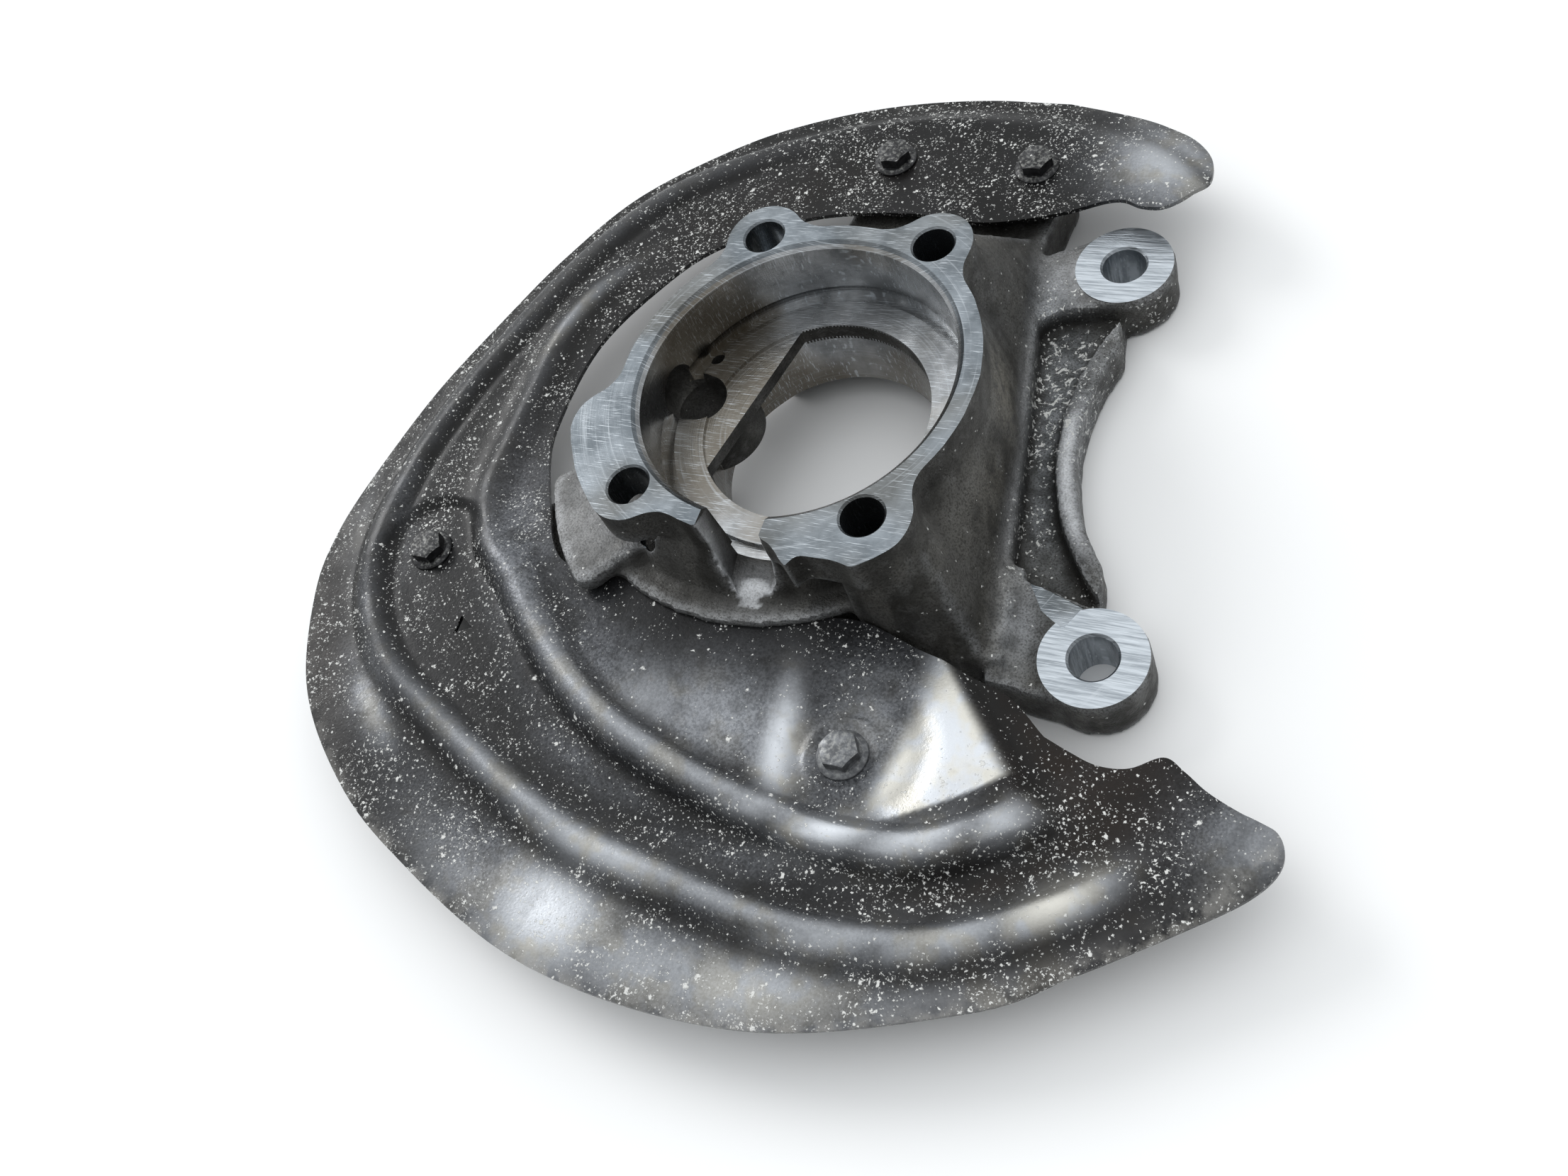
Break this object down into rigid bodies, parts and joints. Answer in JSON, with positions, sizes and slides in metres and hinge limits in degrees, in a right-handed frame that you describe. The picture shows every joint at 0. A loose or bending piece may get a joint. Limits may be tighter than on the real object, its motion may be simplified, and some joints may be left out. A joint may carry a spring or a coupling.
{
  "type": "steering knuckle",
  "caption": "Cast steering knuckle with a wheel bearing seat and brake caliper bracket, and a pressed splash shield bolted behind the brake disc's place.",
  "frame": {"origin": "on the wheel axis, at the machined face that the wheel bearing bolts to", "axes": "+Z along the wheel axis, out of the bearing seat towards the wheel; +Y is the symmetry axis of the bearing's four bolts, on the side where they stand closer together; the caliper bracket is on the +X side"},
  "size_m": [0.3181, 0.3251, 0.06],
  "materials": {
    "cast_aluminium": "sand-cast surface, dulled grey-brown, with bright machined faces",
    "shield_sheet": "dark weathered pressed sheet with white oxide specks and rubbed bright beads",
    "bolt_coating": "black coated steel, dusty"
  },
  "bodies": {
    "root": {"knuckle": "cast_aluminium", "splash_shield": "shield_sheet", "shield_bolt_upper_left": "bolt_coating", "shield_bolt_upper_right": "bolt_coating", "shield_bolt_left": "bolt_coating", "shield_bolt_lower": "bolt_coating"}
  },
  "joints": []
}
